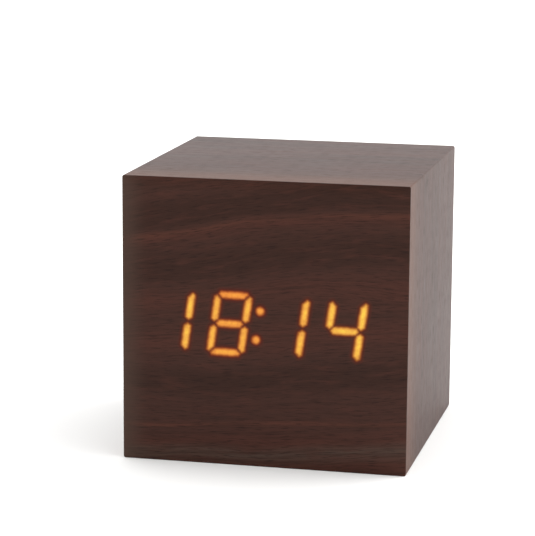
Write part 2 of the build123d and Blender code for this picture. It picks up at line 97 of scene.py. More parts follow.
def colour_property(name, description, code):
    """A colour that a user may change, given as an sRGB hex value."""
    return FloatVectorProperty(
        name=name, description=description, default=srgb(code), subtype="COLOR", size=4, min=0, max=1
    )


def angle_property(name, description, degrees):
    """An angle that a user may change, given in degrees."""
    return number_property(name, description, math.radians(degrees), subtype="ANGLE")


# Settings


class FoilSettings(bpy.types.PropertyGroup):
    """Colours and grain of the printed wood-grain foil."""

    dark: colour_property("Dark grain", "Darkest brown of the print", "#32190f")
    middle: colour_property("Ground", "Ground brown of the print", "#3e2219")
    red: colour_property("Red grain", "Reddish heart of the print", "#47251b")
    amber: colour_property("Light grain", "Lightest streaks of the print", "#4e2a1e")
    pore: colour_property("Pores", "Dark ink pressed into the pores", "#180a06")
    # A grey-brown used as one of the front's print stripes, and as a painted sheen at the front's left
    # edge
    grey_and_sheen: colour_property("Grey print and edge sheen", "Grey print, and a painted sheen at the front's left edge", "#49372e")
    # Mixed in towards the front of the top, bottom and sides, making the print lighter and warmer there
    warm_front: colour_property("Warmer front", "Lighter, warmer print towards the front", "#5f3c2a")
    streak_length: length_property("Streak length", "Length of a grain streak in mm", 16.0)
    streak_width: length_property("Streak width", "Width of a grain streak in mm", 0.7)
    pore_length: length_property("Pore length", "Length of a pore in mm", 3.2)
    pore_width: length_property("Pore width", "Width of a pore in mm, drawn coarse to show", 0.22)
    edge_radius: length_property("Edge rounding", "Rounding of the film's edge in mm", 0.15)
    rim_bevel: length_property("Rear rim bevel", "Softened rear rim of the boards in mm", 0.18)


class DigitSettings(bpy.types.PropertyGroup):
    """Sizes and light of the seven-bar digits."""

    height: length_property("Digit height", "Height of a digit in mm", 14.0)
    span: length_property("Digit span", "Distance between upright bars in mm", 6.76)
    pitch: length_property("Digit pitch", "Distance from digit to digit in mm", 12.45)
    bar_width: length_property("Bar width", "Width of a bar in mm", 1.55)
    bar_gap: length_property("Bar gap", "Half gap where two bars meet, in mm", 0.2)
    rounding: length_property("Bar rounding", "Rounding of a bar's corners in mm", 0.22)
    dot_radius: length_property("Dot radius", "Radius of the colon's dots in mm", 0.9)
    dot_spacing: length_property("Dot spacing", "Distance between the colon's dots in mm", 6.25)
    slant: angle_property("Slant", "Lean of the digits", 7.8)
    tilt: angle_property("Tilt", "How far the row sits askew", -0.6)
    drop: length_property("Drop", "How far the row sits low, in mm", 0.1)
    halo: length_property("Halo", "Reach of the light round a bar in mm", 1.0)
    core: colour_property("Core", "Colour of a bar's middle", "#ffd24c")
    orange: colour_property("Orange", "Tint of the more orange bars", "#ffd9d9")
    strength: number_property("Light", "Strength of the light through the film", 1.0, min=0.0)


class CoverSettings(bpy.types.PropertyGroup):
    """Colours and edges of the rear mouldings and of what lies behind the door."""

    plastic: colour_property("Moulding", "Black of the rear cover and door", "#101011")
    button: colour_property("Buttons", "Black of the buttons", "#0d0d0e")
    wrapper: colour_property("Cell wrapper", "Wrapper of the cells", "#1f4a33")
    edge_bevel: length_property("Edge bevel", "Softened edge of a moulding in mm", 0.12)
    wire_radius: length_property("Spring wire", "Radius of the spring wire in mm", 0.24)


class StageSettings(bpy.types.PropertyGroup):
    """Floor, light and camera."""

    floor: colour_property("Floor", "Colour of the floor", "#f4f4f3")
    azimuth: angle_property("Azimuth", "Camera turn to +X", 12.83)
    elevation: angle_property("Elevation", "Camera height angle", 11.12)
    roll: angle_property("Roll", "Camera roll", 0.35)
    distance: number_property("Distance", "Camera distance", 0.5226, unit="LENGTH")
    aside: number_property("Aside", "Sideways offset of the camera", -0.00609, unit="LENGTH")
    above: number_property("Above", "Upward offset of the camera", 0.00639, unit="LENGTH")
    lens: number_property("Lens", "Focal length in mm", 156.4, unit="CAMERA")
    horizon: number_property("Horizon", "Light from the sweep behind", 1.27)
    overhead: number_property("Overhead", "Light from overhead", 1.9)
    front_sky: number_property("Front share", "Share of that light on the camera's side", 0.2)
    softbox: number_property("Softbox", "Power of the softbox on the right", 11.0, unit="POWER")


class ClockSettings(bpy.types.PropertyGroup):
    """All settings of the clock."""

    foil: PointerProperty(type=FoilSettings)
    digits: PointerProperty(type=DigitSettings)
    cover: PointerProperty(type=CoverSettings)
    stage: PointerProperty(type=StageSettings)


# Materials


def add_node(tree, kind, inputs=(), output=0, stops=(), **options):
    """Add a shader node with its options, its inputs (values or links) and its colour stops.

    inputs are given in order, or as a dictionary by name or place. It gives back one output, by
    name or place, or all of them where output is None.
    """
    node = tree.nodes.new(f"ShaderNode{kind}")
    for option, value in options.items():
        setattr(node, option, value)
    for key, value in inputs.items() if isinstance(inputs, dict) else enumerate(inputs):
        if isinstance(value, bpy.types.NodeSocket):
            tree.links.new(value, node.inputs[key])
        else:
            node.inputs[key].default_value = value
    for place, (position, colour) in enumerate(stops):
        if place < 2:
            element = node.color_ramp.elements[place]
            element.position = position
        else:
            element = node.color_ramp.elements.new(position)
        element.color = colour
    return node.outputs if output is None else node.outputs[output]


def begin_material(name, **inputs):
    """A new material and its Principled shader, with the given inputs set on the shader."""
    material = bpy.data.materials.new(name)
    material.use_nodes = True
    shader = material.node_tree.nodes["Principled BSDF"]
    for key, value in inputs.items():
        shader.inputs[key.replace("_", " ")].default_value = value
    return material, shader


def finish_material(material, shader, **links):
    """Link sockets to the shader's inputs and give back the material."""
    for key, socket in links.items():
        material.node_tree.links.new(socket, shader.inputs[key.replace("_", " ")])
    return material


def surface_point(tree):
    """The surface point in millimetres in the clock's own frame."""
    place = add_node(tree, "TexCoord", output="Object")
    return add_node(tree, "VectorMath", {0: place, 3: 1 / MM}, operation="SCALE")


def print_grain(tree, along, level, seed, ground=None):
    """The printed grain of the foil: its colour and its height.

    along and level are the coordinates in mm along and across the grain. ground is the print's own
    broad stripes, or nothing for stripes left to chance.
    """
    foil = bpy.context.scene.alarm_clock.foil

    def fibres(length, width, detail, step):
        """Noise drawn out along the grain, its features a length by a width in mm."""
        run = add_node(tree, "Math", (along, 1 / length), operation="MULTIPLY")
        rise = add_node(tree, "Math", (level, 1 / width), operation="MULTIPLY")
        place = add_node(tree, "CombineXYZ", (run, rise, seed + step))
        return add_node(tree, "TexNoise", {"Vector": place, "Scale": 1.0, "Detail": detail})

    # The print's stripes wander by about a millimetre over some centimetres
    wander = add_node(tree, "MapRange", (fibres(34, 14, 1.0, 0.0), 0.25, 0.75, -1.1, 1.1))
    level = add_node(tree, "Math", (level, wander), operation="ADD")
    if ground is None:
        stripes = [(0.32, foil.dark), (0.5, foil.middle), (0.7, foil.red)]
        colour = add_node(tree, "ValToRGB", (fibres(70, 5.5, 3.0, 1.0),), stops=stripes)
    else:
        share = add_node(tree, "Math", (level, MM / cad_high.z), operation="MULTIPLY")
        colour = add_node(tree, "ValToRGB", (share,), stops=ground)
    streak = fibres(foil.streak_length, foil.streak_width, 4.0, 2.0)
    dark_share = add_node(tree, "MapRange", (streak, 0.42, 0.72, 0.0, 0.8))
    colour = add_node(tree, "Mix", {0: dark_share, 6: colour, 7: foil.dark}, 2, data_type="RGBA")
    light = fibres(foil.streak_length * 0.5, foil.streak_width * 1.7, 3.0, 3.0)
    light_share = add_node(tree, "MapRange", (light, 0.5, 0.75, 0.0, 0.7))
    colour = add_node(tree, "Mix", {0: light_share, 6: colour, 7: foil.red}, 2, data_type="RGBA")
    pore = add_node(tree, "MapRange", (fibres(foil.pore_length, foil.pore_width, 2.0, 4.0), 0.54, 0.68))
    pore_share = add_node(tree, "Math", (pore, 0.6), operation="MULTIPLY")
    colour = add_node(tree, "Mix", {0: pore_share, 6: colour, 7: foil.pore}, 2, data_type="RGBA")
    height = add_node(tree, "Math", (pore, -1.0, streak), operation="MULTIPLY_ADD")
    return colour, height


def foil_material(name, seed, face="flat", ground=None, glowing=False):
    """PVC foil, gravure printed with wood grain and lacquered matt: dark and even from straight on,
    with fine pressed pores, and a broad pale sheen at a glancing angle."""
    clock = bpy.context.scene.alarm_clock
    material, shader = begin_material(name, Roughness=0.45, IOR=1.45, Specular_IOR_Level=0.2)
    tree = material.node_tree
    point = surface_point(tree)
    x, y, z = add_node(tree, "SeparateXYZ", (point,), None)
    if face == "front":
        # The grain climbs to the right: steeply near the top, where it arches, and gently below
        climb = add_node(tree, "MapRange", (z, 12.0, 50.0, -0.065, -0.125))
        arch = add_node(tree, "MapRange", (z, 12.0, 50.0, -0.0008, 0.0018))
        slope = add_node(tree, "Math", (x, arch, climb), operation="MULTIPLY_ADD")
        along, level = x, add_node(tree, "Math", (x, slope, z), operation="MULTIPLY_ADD")
    else:
        # The foil wraps over the rear rim, so its grain runs on across the board's thickness
        along, depth = (x, z) if face == "flat" else (z, x)
        middle = cad_high.z / 2 / MM if face == "flat" else 0.0
        depth = add_node(tree, "Math", (depth, middle), operation="SUBTRACT")
        depth = add_node(tree, "Math", (depth,), operation="ABSOLUTE")
        level = add_node(tree, "Math", (y, depth), operation="SUBTRACT")
    colour, height = print_grain(tree, along, level, seed, ground)
    # A painted sheen greys the print towards the front's left edge; on the other faces the print turns
    # lighter and warmer towards the front
    front_sheen = (x, -32.0, -25.0, 0.8, 0.0), clock.foil.grey_and_sheen
    side_tint = (y, -31.5, -14.0, 0.6, 0.0), clock.foil.warm_front
    edge_mix, edge_colour = front_sheen if face == "front" else side_tint
    edge_share = add_node(tree, "MapRange", edge_mix, interpolation_type="SMOOTHSTEP")
    colour = add_node(tree, "Mix", {0: edge_share, 6: colour, 7: edge_colour}, 2, data_type="RGBA")
    if glowing:
        glow = add_node(tree, "Attribute", output="Fac", attribute_name="glow")
        # Painted shade: on and round the lit bars the print is darkened towards a deep red
        painted_shade_share = add_node(tree, "MapRange", (glow, 0.02, 0.2, 0.0, 0.9))
        rim = srgb("#180301")
        colour = add_node(tree, "Mix", {0: painted_shade_share, 6: colour, 7: rim}, 2, data_type="RGBA")
        # The film's tiny print dots, seen against the light, drawn coarse to show
        dots = add_node(tree, "TexNoise", {"Vector": point, "Scale": 1 / 0.9, "Detail": 1.0})
        mottle = add_node(tree, "MapRange", (dots, 0.3, 0.7, 0.09, -0.09))
        uneven = add_node(tree, "Math", (mottle, glow, glow), operation="MULTIPLY_ADD")
        light_stops = [
            (0.0, (0, 0, 0, 1)), (0.06, srgb("#260802")), (0.16, srgb("#3e1403")),
            (0.3, srgb("#6c2d0a")), (0.45, srgb("#a4601f")), (0.62, srgb("#d8923a")),
            (0.8, srgb("#f2b044")), (1.0, clock.digits.core),
        ]
        light = add_node(tree, "ValToRGB", (uneven,), stops=light_stops)
        orange = add_node(tree, "Attribute", output="Fac", attribute_name="orange")
        tint = {0: orange, 6: light, 7: clock.digits.orange}
        light = add_node(tree, "Mix", tint, 2, data_type="RGBA", blend_type="MULTIPLY")
        finish_material(material, shader, Emission_Color=light)
        shader.inputs["Emission Strength"].default_value = clock.digits.strength
    bump = add_node(tree, "Bump", {"Height": height, "Distance": 0.012 * MM, "Strength": 0.5})
    rough = add_node(tree, "MapRange", (height, 0.1, 0.9, 0.54, 0.38))
    return finish_material(material, shader, Base_Color=colour, Normal=bump, Roughness=rough)


def moulded(name, first, second, roughness, grit, depth, patch=9.0, **inputs):
    """A moulded or cast surface: two close colours that drift over patches, and a fine texture.

    grit is the texture's size, depth its height and patch the drift's size, all in mm.
    """
    material, shader = begin_material(name, IOR=1.53, **inputs)
    tree = material.node_tree
    point = surface_point(tree)
    texture = add_node(tree, "TexNoise", {"Vector": point, "Scale": 1 / grit, "Detail": 2.0})
    bump = add_node(tree, "Bump", {"Height": texture, "Distance": depth * MM, "Strength": 1.0})
    drift = add_node(tree, "TexNoise", {"Vector": point, "Scale": 1 / patch, "Detail": 3.0})
    colour = add_node(tree, "ValToRGB", (drift,), stops=[(0.35, first), (0.65, second)])
    rough = add_node(tree, "MapRange", (drift, 0.3, 0.7, roughness - 0.06, roughness + 0.06))
    return finish_material(material, shader, Base_Color=colour, Normal=bump, Roughness=rough)


def metal(name, first, second, roughness, grit, stretch=(1, 1, 1)):
    """A plated or drawn metal: full reflection, broken by fine marks drawn out along an axis."""
    material, shader = begin_material(name, Metallic=1.0)
    tree = material.node_tree
    scale = tuple(1 / (grit * share) for share in stretch)
    place = add_node(tree, "VectorMath", (surface_point(tree), scale), operation="MULTIPLY")
    marks = add_node(tree, "TexNoise", {"Vector": place, "Scale": 1.0, "Detail": 3.0})
    colour = add_node(tree, "ValToRGB", (marks,), stops=[(0.35, first), (0.65, second)])
    rough = add_node(tree, "MapRange", (marks, 0.3, 0.7, roughness - 0.08, roughness + 0.1))
    bump = add_node(tree, "Bump", {"Height": marks, "Distance": 0.01 * MM, "Strength": 0.6})
    return finish_material(material, shader, Base_Color=colour, Normal=bump, Roughness=rough)


def circuit_material():
    """Glass-epoxy laminate under green solder mask: glossy, with its tracks showing paler."""
    material, shader = begin_material("Solder-masked laminate", Roughness=0.3, IOR=1.55)
    tree = material.node_tree
    quarter = math.radians(90)
    upright = {"Vector": surface_point(tree), "Angle": quarter}
    point = add_node(tree, "VectorRotate", upright, rotation_type="X_AXIS")
    # Tracks every 1.3 mm, as hand-soldered boards have
    layout = {
        "Vector": point, "Scale": 1.0, "Brick Width": 4.2, "Row Height": 1.3, "Mortar Size": 0.12,
        "Color1": srgb("#0d3d22"), "Color2": srgb("#0f4426"), "Mortar": srgb("#1c6339"),
    }
    colour, relief = add_node(tree, "TexBrick", layout, None)
    bump = add_node(tree, "Bump", {"Height": relief, "Distance": 0.03 * MM, "Strength": 0.5})
    return finish_material(material, shader, Base_Color=colour, Normal=bump)


def ribbon_material():
    """PVC ribbon, extruded: grey and dull, ribbed once for each conductor."""
    material, shader = begin_material("PVC ribbon extruded", Roughness=0.5, IOR=1.52)
    tree = material.node_tree
    x = add_node(tree, "SeparateXYZ", (surface_point(tree),))
    phase = add_node(tree, "Math", (x, 2 * math.pi), operation="MULTIPLY")
    rib = add_node(tree, "Math", (phase,), operation="SINE")
    colour = add_node(tree, "ValToRGB", (rib,), stops=[(0.0, srgb("#77777a")), (0.4, srgb("#a2a2a5"))])
    bump = add_node(tree, "Bump", {"Height": rib, "Distance": 0.1 * MM, "Strength": 0.6})
    return finish_material(material, shader, Base_Color=colour, Normal=bump)


# Meshes


def make_object(name, mesh_source, materials, sharp=30):
    """Turn a bmesh in millimetres into a smooth-shaded object in metres, sharp at its corners."""
    mesh = bpy.data.meshes.new(name)
    bmesh.ops.scale(mesh_source, vec=(MM, MM, MM), verts=mesh_source.verts)
    bmesh.ops.recalc_face_normals(mesh_source, faces=mesh_source.faces)
    mesh_source.to_mesh(mesh)
    mesh_source.free()
    for material in materials:
        mesh.materials.append(material)
    for polygon in mesh.polygons:
        polygon.use_smooth = True
    mesh.set_sharp_from_angle(angle=math.radians(sharp))
    piece = bpy.data.objects.new(name, mesh)
    bpy.context.scene.collection.objects.link(piece)
    return piece


def settle(piece, body, replaced):
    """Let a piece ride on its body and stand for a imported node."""
    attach(piece, body)
    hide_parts(replaced)


def dress(node_names, material, bevel=0.0):
    """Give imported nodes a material, and soften their moulded edges if asked."""
    for node_name in node_names:
        part = nodes[node_name]
        if not part.material_slots:
            part.data.materials.append(material)
        for slot in part.material_slots:
            slot.material = material
        if bevel:
            weld = part.modifiers.new("Weld", "WELD")
            weld.merge_threshold = 0.002 * MM
            edge = part.modifiers.new("Edges", "BEVEL")
            edge.width = bevel * MM
            edge.segments = 2
            edge.limit_method = "ANGLE"
            edge.angle_limit = math.radians(40)
            edge.harden_normals = True


def rounded_outline(half_width, low, high, radius, arc_steps=5, spacing=4.0):
    """A rectangle with rounded corners about X = 0, as points anticlockwise seen from the front."""
    middle = (low + high) / 2
    half_height = (high - low) / 2
    points = []
    for quarter in range(4):
        turn = quarter * math.pi / 2
        corner_x = (half_width - radius) * (1 if quarter in (0, 3) else -1)
        corner_z = (half_height - radius) * (1 if quarter in (0, 1) else -1)
        for step in range(arc_steps + 1):
            angle = turn + step / arc_steps * math.pi / 2
            across, upward = radius * math.cos(angle), radius * math.sin(angle)
            points.append((corner_x + across, middle + corner_z + upward))
    return spread_points(points, spacing)


def spread_points(loop, spacing):
    """Add points to a closed loop's long sides so that none is longer than the spacing."""
    spread = []
    for start, finish in zip(loop, loop[1:] + loop[:1]):
        count = max(1, math.ceil(math.dist(start, finish) / spacing - 1e-6))
        for step in range(count):
            share = step / count
            spread.append(tuple(a + (b - a) * share for a, b in zip(start, finish)))
    return spread


def lathe(name, profile, origin, direction, materials, steps=48):
    """Turn a profile of (distance along, radius, material) round a line; radii of 0 close an end."""
    direction = Vector(direction)
    side = direction.orthogonal().normalized()
    other = direction.cross(side)
    built = bmesh.new()
    rings = []
    for distance, radius, _ in profile:
        centre = Vector(origin) + direction * distance
        if radius == 0:
            rings.append([built.verts.new(centre)])
            continue
        ring = []
        for step in range(steps):
            angle = 2 * math.pi * step / steps
            outward = side * math.cos(angle) + other * math.sin(angle)
            ring.append(built.verts.new(centre + outward * radius))
        rings.append(ring)
    for first, second, (_, _, material) in zip(rings, rings[1:], profile[1:]):
        for step in range(steps):
            after = (step + 1) % steps
            corners = [first[step % len(first)], first[after % len(first)]]
            corners += [second[after % len(second)], second[step % len(second)]]
            face = built.faces.new(list(dict.fromkeys(corners)))
            face.material_index = material
    return make_object(name, built, materials)


# Digits


def bar_outlines(digits):
    """The seven bars about a digit's middle, as convex outlines before the digit is slanted.

    Each end is three points: distance short of the corner, and offset to the digit's outside.
    """
    half = digits.bar_width / 2
    span = digits.span / 2
    rise = (digits.height - digits.bar_width) / 2
    corner_end = [(half + digits.bar_gap, -half), (-0.05, 0.15), (0.4, half)]
    point_end = [(0.9, -half), (0.25, 0), (0.9, half)]
    skeleton = {
        "a": ((-span, rise), (span, rise), (0, 1), corner_end, corner_end),
        "b": ((span, rise), (span, 0), (1, 0), corner_end, point_end),
        "c": ((span, -rise), (span, 0), (1, 0), corner_end, point_end),
        "d": ((-span, -rise), (span, -rise), (0, -1), corner_end, corner_end),
        "e": ((-span, -rise), (-span, 0), (-1, 0), corner_end, point_end),
        "f": ((-span, rise), (-span, 0), (-1, 0), corner_end, point_end),
        "g": ((-span, 0), (span, 0), (0, 1), point_end, point_end),
    }
    outlines = {}
    for name, (start, finish, outward, start_end, finish_end) in skeleton.items():
        length = math.dist(start, finish)
        ahead = ((finish[0] - start[0]) / length, (finish[1] - start[1]) / length)
        stations = list(start_end) + [(length - short, out) for short, out in reversed(finish_end)]
        outlines[name] = [
            tuple(start[axis] + ahead[axis] * distance + outward[axis] * out for axis in (0, 1))
            for distance, out in stations
        ]
    return outlines


def anticlockwise(points):
    """The same outline, running anticlockwise."""
    area = sum(a[0] * b[1] - b[0] * a[1] for a, b in zip(points, points[1:] + points[:1]))
    return points if area > 0 else points[::-1]


def moved_inwards(points, distance):
    """A convex anticlockwise outline with each side moved inwards by a distance."""
    moved = []
    for before, point, after in zip(points[-1:] + points[:-1], points, points[1:] + points[:1]):
        normals = []
        for start, finish in ((before, point), (point, after)):
            side = Vector((finish[0] - start[0], finish[1] - start[1])).normalized()
            normals.append(Vector((-side.y, side.x)))
        shift = (normals[0] + normals[1]) * (distance / (1 + normals[0].dot(normals[1])))
        moved.append((point[0] + shift.x, point[1] + shift.y))
    return moved


def outline_at(core, reach, arc_steps=3, spacing=0.7):
    """The loop at a distance outside a convex outline, its corners rounded by that distance."""
    if reach <= 0:
        return spread_points(core if reach == 0 else moved_inwards(core, -reach), spacing)
    loop = []
    for before, point, after in zip(core[-1:] + core[:-1], core, core[1:] + core[:1]):
        first = math.atan2(point[1] - before[1], point[0] - before[0]) - math.pi / 2
        second = math.atan2(after[1] - point[1], after[0] - point[0]) - math.pi / 2
        sweep = (second - first) % (2 * math.pi)
        for step in range(arc_steps + 1):
            angle = first + sweep * step / arc_steps
            loop.append((point[0] + reach * math.cos(angle), point[1] + reach * math.sin(angle)))
    return spread_points(loop, spacing)


def distance_to(core, point):
    """Signed distance from a point to a convex anticlockwise outline, negative inside it."""
    outside = 1e9
    inside = -1e9
    for start, finish in zip(core, core[1:] + core[:1]):
        side = Vector((finish[0] - start[0], finish[1] - start[1]))
        offset = Vector((point[0] - start[0], point[1] - start[1]))
        share = min(1.0, max(0.0, offset.dot(side) / side.length_squared))
        outside = min(outside, (offset - side * share).length)
        inside = max(inside, side.y * offset.x / side.length - side.x * offset.y / side.length)
    return outside if inside > 0 else inside


def lit_shapes(digits):
    """Each lit bar or dot: its core outline, rounding, middle, brightness and share of orange."""
    low, high = box_mm("display_housing")
    middle = Vector(((low.x + high.x) / 2, (low.z + high.z) / 2 - digits.drop))
    slope = math.tan(digits.slant)
    askew = Matrix.Rotation(digits.tilt, 2)
    outlines = bar_outlines(digits)
    shapes = []
    # Chips of one batch differ a little: how bright and how orange each bar is
    shown = [
        (0, "bc", 0.93, 0.1),
        (1, "bcef", 0.89, 0.35),
        (1, "a", 0.87, 1.0),
        (1, "dg", 0.89, 0.75),
        (2, "bc", 0.92, 0.2),
        (3, "bcfg", 0.96, 0.0),
    ]
    for place, bars, gain, orange in shown:
        digit_x = digits.pitch * (place - 1.5)
        for bar in bars:
            leaned = [middle + askew @ Vector((digit_x + x + slope * z, z)) for x, z in outlines[bar]]
            core = moved_inwards(anticlockwise([tuple(point) for point in leaned]), digits.rounding)
            centre = tuple(sum(point[axis] for point in core) / len(core) for axis in (0, 1))
            shapes.append((core, digits.rounding, centre, gain, orange))
    speck = 0.02  # radius of a dot's core in mm; the rest of the dot is its rounding
    for end in (-1, 1):
        rise = end * digits.dot_spacing / 2
        centre = middle + askew @ Vector((slope * rise, rise))
        core = [
            (centre.x + speck * math.cos(turn), centre.y + speck * math.sin(turn))
            for turn in (math.pi / 4 * step for step in range(8))
        ]
        shapes.append((core, digits.dot_radius - speck, tuple(centre), 0.86, 0.8))
    return shapes


def glow_at(point, shapes, halo):
    """How brightly the film glows at a point, with 0.5 at a bar's edge, and how orange it is."""
    farthest = 6.0  # a bar lights nothing further from its middle, in mm
    ramp = 1.15  # twice the depth at which a bar is at its brightest, in mm
    half_bar = 2.9  # from a bar's middle to its end, in mm
    end_loss = 0.18  # share of the light that is lost by then
    falloff = 1.6  # how sharply the light dies away outside a bar
    best = (0.0, 0.0)
    for core, rounding, centre, gain, orange in shapes:
        if math.dist(point, centre) > farthest:
            continue
        distance = distance_to(core, point) - rounding
        if distance < 0:
            glow = min(1.0, 0.5 - distance / ramp) * gain
        else:
            glow = 0.5 * gain * max(0.0, 1 - distance / halo) ** falloff
        fade = 1 - end_loss * (math.dist(point, centre) / half_bar) ** 2
        best = max(best, (glow * fade, orange))
    return best


# Pieces


def build_front_film():
    """The film over the front: one thin sheet whose face follows the bars that shine through it."""
    clock = bpy.context.scene.alarm_clock
    foil, digits = clock.foil, clock.digits
    low, high = box_mm("front_film")

    def rim(inset):
        """The film's outline, drawn in by an inset."""
        return rounded_outline(high.x - inset, low.z + inset, high.z - inset, CASE_CORNER - inset)

    edge = foil.edge_radius
    arc_steps = 4
    loops = []
    for step in range(arc_steps + 1):
        angle = step / arc_steps * math.pi / 2
        loops.append((rim(edge * (1 - math.sin(angle))), low.y + edge * (1 - math.cos(angle))))
    loops.append((rim(0.0), high.y))
    shapes = lit_shapes(digits)
    points = list(loops[0][0])
    border = len(points)
    edges = [(i, (i + 1) % border) for i in range(border)]
    # Loops inside, along and outside each bar, so that the glow has edges to follow
    for core, rounding, _, _, _ in shapes:
        for reach in (-0.3, 0.0, rounding, rounding + 0.2, rounding + 0.45, rounding + digits.halo):
            loop = outline_at(core, reach)
            first = len(points)
            points += loop
            edges += [(first + i, first + (i + 1) % len(loop)) for i in range(len(loop))]
        points.append(tuple(sum(p[axis] for p in core) / len(core) for axis in (0, 1)))
    # A plain grid between the bars keeps the sheet's triangles even
    margin, rows, clear = 3, 7, 1.5
    span_x, span_z = high.x - margin, (high.z - low.z) / 2 - margin
    for column in range(-rows, rows + 1):
        for row in range(-rows, rows + 1):
            place = (span_x * column / rows, (low.z + high.z) / 2 + span_z * row / rows)
            if glow_at(place, shapes, clear)[0] == 0:
                points.append(place)
    flat = [Vector(point) for point in points]
    merge_distance = 1e-4
    out_points, _, out_faces, origins, _, _ = delaunay_2d_cdt(flat, edges, [], 0, merge_distance)
    built = bmesh.new()
    glow_layer = built.verts.layers.float.new("glow")
    orange_layer = built.verts.layers.float.new("orange")
    verts = []
    rim_verts = {}
    for index, point in enumerate(out_points):
        vert = built.verts.new((point.x, low.y, point.y))
        vert[glow_layer], vert[orange_layer] = glow_at(point, shapes, digits.halo)
        verts.append(vert)
        for source in origins[index]:
            if source < border:
                rim_verts[source] = vert
    for corners in out_faces:
        built.faces.new([verts[index] for index in corners])
    ring = [rim_verts[index] for index in range(border)]
    for outline, depth in loops[1:]:
        after = [built.verts.new((x, depth, z)) for x, z in outline]
        for step in range(border):
            nxt = (step + 1) % border
            built.faces.new([ring[step], ring[nxt], after[nxt], after[step]])
        ring = after
    built.faces.new(ring)
    film = foil_material("Printed film, back-lit", 3.0, "front", front_stripes(foil), glowing=True)
    piece = make_object("printed_front_film", built, [film], sharp=50)
    settle(piece, "root", "front_film")


def front_stripes(foil):
    """The broad stripes of the front's print, by share of the height at the front's middle.

    They are listed from the bottom up, each with its height in mm.
    """
    dark, middle, red, amber, grey_and_sheen = foil.dark, foil.middle, foil.red, foil.amber, foil.grey_and_sheen
    heights = [
        (0.0, red), (2.6, grey_and_sheen), (5.2, red), (8.4, middle), (9.2, amber), (10.0, middle),
        (15.0, middle), (18.0, dark), (20.5, dark), (23.5, middle), (28.0, red), (33.0, middle),
        (38.0, red), (41.5, middle), (44.0, dark), (47.0, dark), (50.5, middle), (52.3, red),
        (53.2, amber), (54.2, middle), (55.2, dark), (59.5, dark), (62.0, middle),
    ]
    return [(height * MM / cad_high.z, colour) for height, colour in heights]


def build_case():
    """The four case boards, mitred at their corners, with a softened rear rim."""
    foil = bpy.context.scene.alarm_clock.foil
    flat = foil_material("Printed foil, grain across", 11.0, "flat")
    upright = foil_material("Printed foil, grain upright", 17.0, "upright")
    # Pressed wood fibres: dull tan with short darker flecks
    mdf = moulded("MDF sanded", srgb("#8f7350"), srgb("#a88c66"), 0.85, 0.35, 0.03, 0.8)
    low, high = box_mm("top_board")
    wall = high.z - low.z
    _, film_high = box_mm("front_film")
    top, half = film_high.z, film_high.x
    # Each board's width, and where a point of its outline stands in the case
    boards = (
        ("bottom_board", flat, 2 * half, lambda u, v: (u - half, v)),
        ("top_board", flat, 2 * half, lambda u, v: (u - half, top - v)),
        ("left_board", upright, top, lambda u, v: (v - half, u)),
        ("right_board", upright, top, lambda u, v: (half - v, u)),
    )
    arc_steps = 4
    radius = CASE_CORNER
    arc = radius * (1 - math.cos(math.pi / 4))
    for name, side_material, across, place in boards:
        # One board seen along the case: its outer face on the line v = 0, from u = 0 to its width
        outline = [(wall, wall), (arc, arc)]
        for step in range(1, arc_steps + 1):
            angle = math.pi / 4 * (1 - step / arc_steps)
            outline.append((radius - radius * math.sin(angle), radius - radius * math.cos(angle)))
        outline += [(across - u, v) for u, v in reversed(outline)]
        turned = [place(u, v) for u, v in outline]
        built = bmesh.new()
        front = [built.verts.new((x, low.y, z)) for x, z in turned]
        rear = [built.verts.new((x, high.y, z)) for x, z in turned]
        built.faces.new(front)
        built.faces.new(rear)
        count = len(front)
        for step in range(count):
            nxt = (step + 1) % count
            built.faces.new([front[step], front[nxt], rear[nxt], rear[step]])
        rear_set = set(rear)
        rim = [edge for edge in built.edges if set(edge.verts) <= rear_set]
        bmesh.ops.bevel(built, geom=rim, offset=foil.rim_bevel, segments=2, profile=0.5, affect="EDGES")
        for face in built.faces:
            centre = face.calc_center_median()
            inside = max(abs(centre.x) - (half - wall), abs(centre.z - top / 2) - (top / 2 - wall))
            face.material_index = 1 if inside < 0.01 and centre.y < high.y - foil.rim_bevel else 0
        piece = make_object(f"foiled_{name}", built, [side_material, mdf])
        settle(piece, "root", name)
    dress(["front_board", "corner_blocks"], mdf)


def build_display():
    """The display module behind the film: housing, resin bars, boards and chips."""
    # Bright and satin, to throw the chips' light forwards
    white = moulded("White ABS moulded", srgb("#e6e5e0"), srgb("#dddcd5"), 0.45, 0.3, 0.01)
    dress(["display_housing"], white)
    # Clouded resin, which spreads a chip's light into one warm, even bar under a glossy skin
    amber = srgb("#ffb648")
    lit = moulded(
        "Diffusing resin cast, lit", amber, srgb("#f9ab3c"), 0.25, 0.5, 0.004, 1.5,
        Emission_Color=amber, Emission_Strength=0.8,
    )
    dress(["lit_bars", "colon_dots"], lit)
    # Without light behind it the same resin is milky
    unlit = moulded("Diffusing resin cast", srgb("#dcd6c4"), srgb("#e8e2d2"), 0.25, 0.5, 0.004, 1.5)
    dress(["dark_bars"], unlit)
    dress(["led_board", "main_board"], circuit_material())
    # Filled with yellow phosphor, smooth and glossy
    chips = moulded("Chip encapsulant cast", srgb("#e3b53c"), srgb("#d9a92f"), 0.2, 0.3, 0.004, 0.6)
    dress(["led_chips"], chips)


